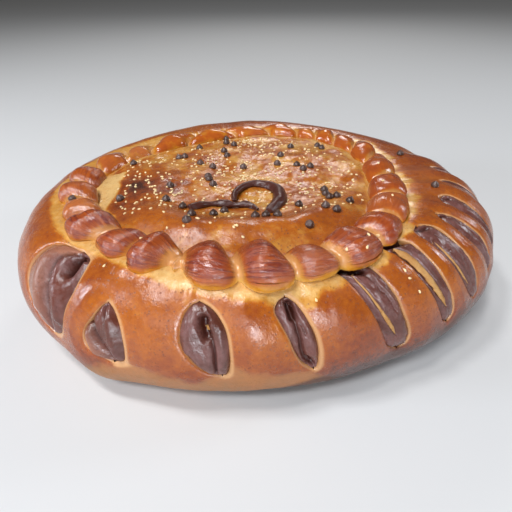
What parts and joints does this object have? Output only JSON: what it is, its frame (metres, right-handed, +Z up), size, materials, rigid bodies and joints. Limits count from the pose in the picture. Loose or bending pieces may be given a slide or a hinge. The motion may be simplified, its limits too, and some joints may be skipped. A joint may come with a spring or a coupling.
{
  "type": "round filled sweet loaf",
  "caption": "Large round sweet loaf with a glazed crust, slits over dark cocoa dough, a twisted border and sesame seeds.",
  "frame": {"origin": "centre of the flat base, on the surface that the loaf stands on", "axes": "+Z up, -Y towards the front of the picture, +X to the right"},
  "size_m": [0.3413, 0.3069, 0.0967],
  "materials": {
    "golden_crust": "golden crust with a soft egg glaze",
    "cocoa_crust": "satin cocoa crust",
    "plain_crumb": "dull pale crumb",
    "border_crust": "red-brown glossy crust"
  },
  "bodies": {
    "root": {"golden_dough": "golden_crust", "cocoa_dough": "cocoa_crust", "inner_dough": "plain_crumb", "twisted_border": "border_crust", "cocoa_hook": "cocoa_crust", "cocoa_tail": "cocoa_crust"}
  },
  "joints": []
}
